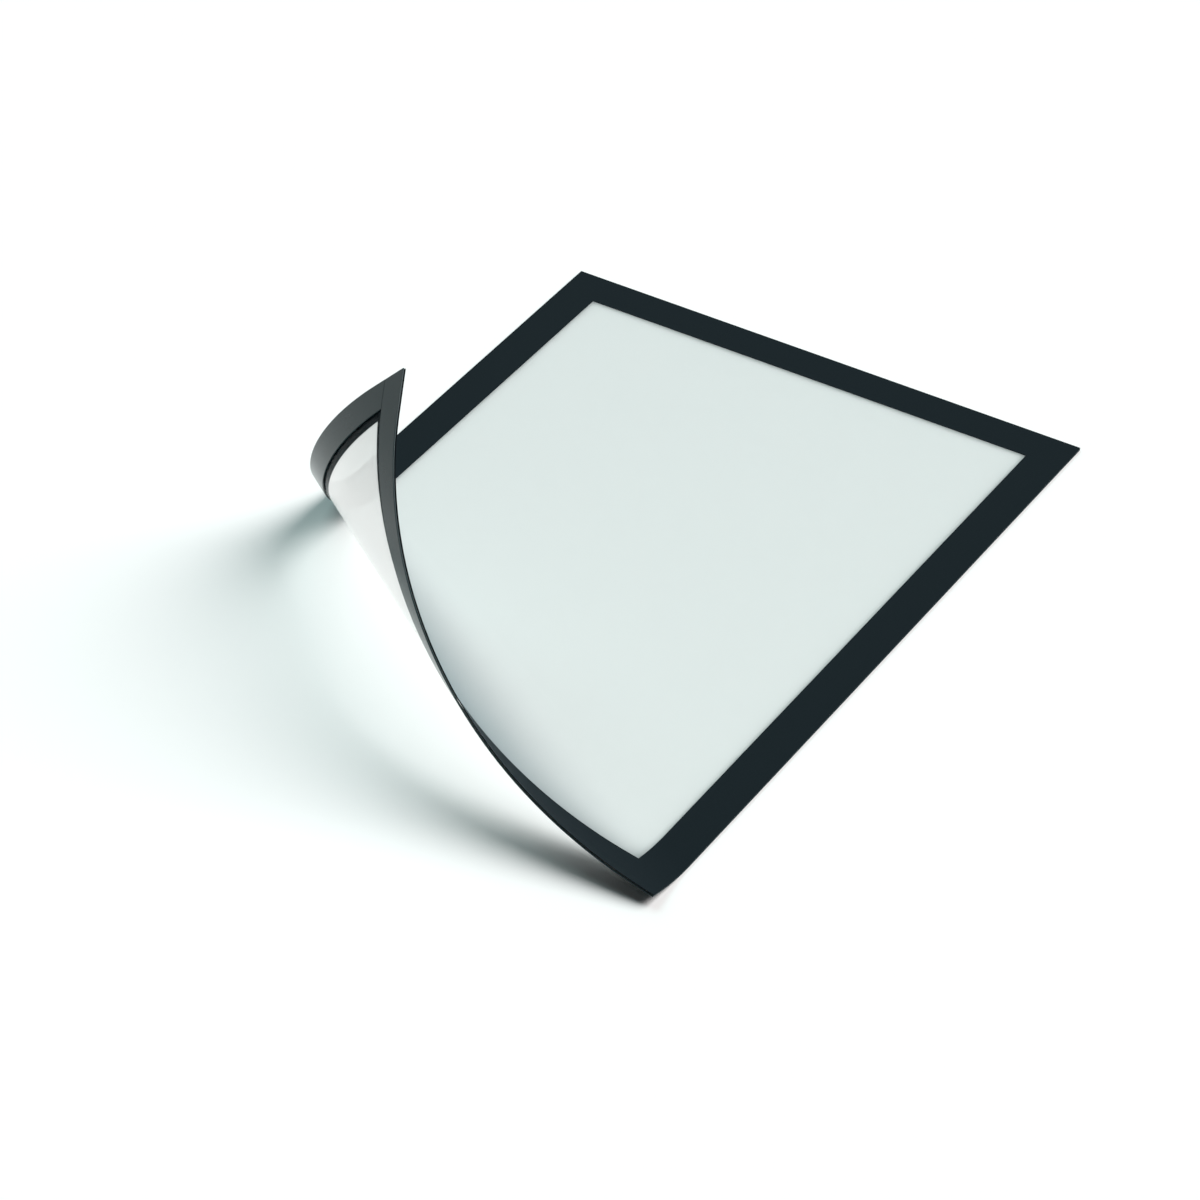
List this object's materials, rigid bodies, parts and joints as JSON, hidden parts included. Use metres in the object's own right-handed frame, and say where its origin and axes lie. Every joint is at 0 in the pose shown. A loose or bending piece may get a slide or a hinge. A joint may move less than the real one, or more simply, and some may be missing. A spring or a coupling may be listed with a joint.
{
  "type": "magnetic photo frame",
  "caption": "Flat flexible magnetic frame for a sheet: clear film window, black border and magnet strips on its back, with one corner curled up.",
  "frame": {"origin": "middle of the frame's outline when it lies flat, on the magnets' back faces", "axes": "+Z out of the frame's front, +Y towards the top strip, up the frame's long side, +X along its short side to the right"},
  "size_m": [0.2365, 0.3229, 0.1127],
  "materials": {
    "clear_film": "satin",
    "black_border": "matte",
    "magnet_rubber": "matte",
    "adhesive": "satin"
  },
  "bodies": {
    "flat_part": {"border": "black_border", "film": "clear_film", "magnet_left": "magnet_rubber", "magnet_right": "magnet_rubber", "magnet_top": "magnet_rubber", "tapes": "adhesive"},
    "curl_01": {"border_curl_01": "black_border", "film_curl_01": "clear_film", "magnet_bottom_curl_01": "magnet_rubber", "magnet_left_curl_01": "magnet_rubber", "magnet_right_curl_01": "magnet_rubber", "tapes_curl_01": "adhesive"},
    "curl_02": {"border_curl_02": "black_border", "film_curl_02": "clear_film", "magnet_bottom_curl_02": "magnet_rubber", "magnet_left_curl_02": "magnet_rubber", "tapes_curl_02": "adhesive"},
    "curl_03": {"border_curl_03": "black_border", "film_curl_03": "clear_film", "magnet_bottom_curl_03": "magnet_rubber", "magnet_left_curl_03": "magnet_rubber", "tapes_curl_03": "adhesive"},
    "curl_04": {"border_curl_04": "black_border", "film_curl_04": "clear_film", "magnet_bottom_curl_04": "magnet_rubber", "magnet_left_curl_04": "magnet_rubber", "tapes_curl_04": "adhesive"},
    "curl_05": {"border_curl_05": "black_border", "film_curl_05": "clear_film", "magnet_bottom_curl_05": "magnet_rubber", "magnet_left_curl_05": "magnet_rubber", "tapes_curl_05": "adhesive"},
    "curl_06": {"border_curl_06": "black_border", "film_curl_06": "clear_film", "magnet_bottom_curl_06": "magnet_rubber", "magnet_left_curl_06": "magnet_rubber", "tapes_curl_06": "adhesive"},
    "curl_07": {"border_curl_07": "black_border", "film_curl_07": "clear_film", "magnet_bottom_curl_07": "magnet_rubber", "magnet_left_curl_07": "magnet_rubber", "tapes_curl_07": "adhesive"},
    "curl_08": {"border_curl_08": "black_border", "film_curl_08": "clear_film", "magnet_bottom_curl_08": "magnet_rubber", "magnet_left_curl_08": "magnet_rubber", "tapes_curl_08": "adhesive"},
    "curl_09": {"border_curl_09": "black_border", "film_curl_09": "clear_film", "magnet_bottom_curl_09": "magnet_rubber", "magnet_left_curl_09": "magnet_rubber", "tapes_curl_09": "adhesive"},
    "curl_10": {"border_curl_10": "black_border", "film_curl_10": "clear_film", "magnet_bottom_curl_10": "magnet_rubber", "magnet_left_curl_10": "magnet_rubber", "tapes_curl_10": "adhesive"}
  },
  "joints": [
    {"name": "bend_01", "type": "hinge", "parent": "flat_part", "child": "curl_01", "pos_m": [0, -0.0749, 0.0012], "axis": [-0.866, 0.5, 0], "range_deg": [-12.5, 5.5]},
    {"name": "bend_02", "type": "hinge", "parent": "curl_01", "child": "curl_02", "pos_m": [0.0001, -0.08432, 0.003], "axis": [-0.8495, 0.5276, -0.0071], "range_deg": [-12.5, 5.5]},
    {"name": "bend_03", "type": "hinge", "parent": "curl_02", "child": "curl_03", "pos_m": [-0.00967, -0.08847, 0.007], "axis": [-0.8332, 0.5526, -0.0211], "range_deg": [-12.5, 5.5]},
    {"name": "bend_04", "type": "hinge", "parent": "curl_03", "child": "curl_04", "pos_m": [-0.02165, -0.09075, 0.01335], "axis": [-0.8179, 0.5739, -0.0411], "range_deg": [-12.5, 5.5]},
    {"name": "bend_05", "type": "hinge", "parent": "curl_04", "child": "curl_05", "pos_m": [-0.03258, -0.09244, 0.02214], "axis": [-0.8044, 0.5904, -0.0663], "range_deg": [-12.5, 5.5]},
    {"name": "bend_06", "type": "hinge", "parent": "curl_05", "child": "curl_06", "pos_m": [-0.042, -0.09304, 0.03325], "axis": [-0.7934, 0.6012, -0.0954], "range_deg": [-12.5, 5.5]},
    {"name": "bend_07", "type": "hinge", "parent": "curl_06", "child": "curl_07", "pos_m": [-0.04949, -0.09206, 0.04642], "axis": [-0.7853, 0.606, -0.127], "range_deg": [-12.5, 5.5]},
    {"name": "bend_08", "type": "hinge", "parent": "curl_07", "child": "curl_08", "pos_m": [-0.05456, -0.08908, 0.06119], "axis": [-0.7806, 0.6043, -0.1596], "range_deg": [-12.5, 5.5]},
    {"name": "bend_09", "type": "hinge", "parent": "curl_08", "child": "curl_09", "pos_m": [-0.05677, -0.08382, 0.07696], "axis": [-0.7795, 0.5964, -0.1916], "range_deg": [-12.5, 5.5]},
    {"name": "bend_10", "type": "hinge", "parent": "curl_09", "child": "curl_10", "pos_m": [-0.05573, -0.07613, 0.09299], "axis": [-0.782, 0.5826, -0.2214], "range_deg": [-12.5, 5.5]}
  ],
  "couplings": [
    {"joint": "bend_02", "follows": "bend_01", "ratio": 1},
    {"joint": "bend_03", "follows": "bend_01", "ratio": 1},
    {"joint": "bend_04", "follows": "bend_01", "ratio": 1},
    {"joint": "bend_05", "follows": "bend_01", "ratio": 1},
    {"joint": "bend_06", "follows": "bend_01", "ratio": 1},
    {"joint": "bend_07", "follows": "bend_01", "ratio": 1},
    {"joint": "bend_08", "follows": "bend_01", "ratio": 1},
    {"joint": "bend_09", "follows": "bend_01", "ratio": 1},
    {"joint": "bend_10", "follows": "bend_01", "ratio": 1}
  ]
}
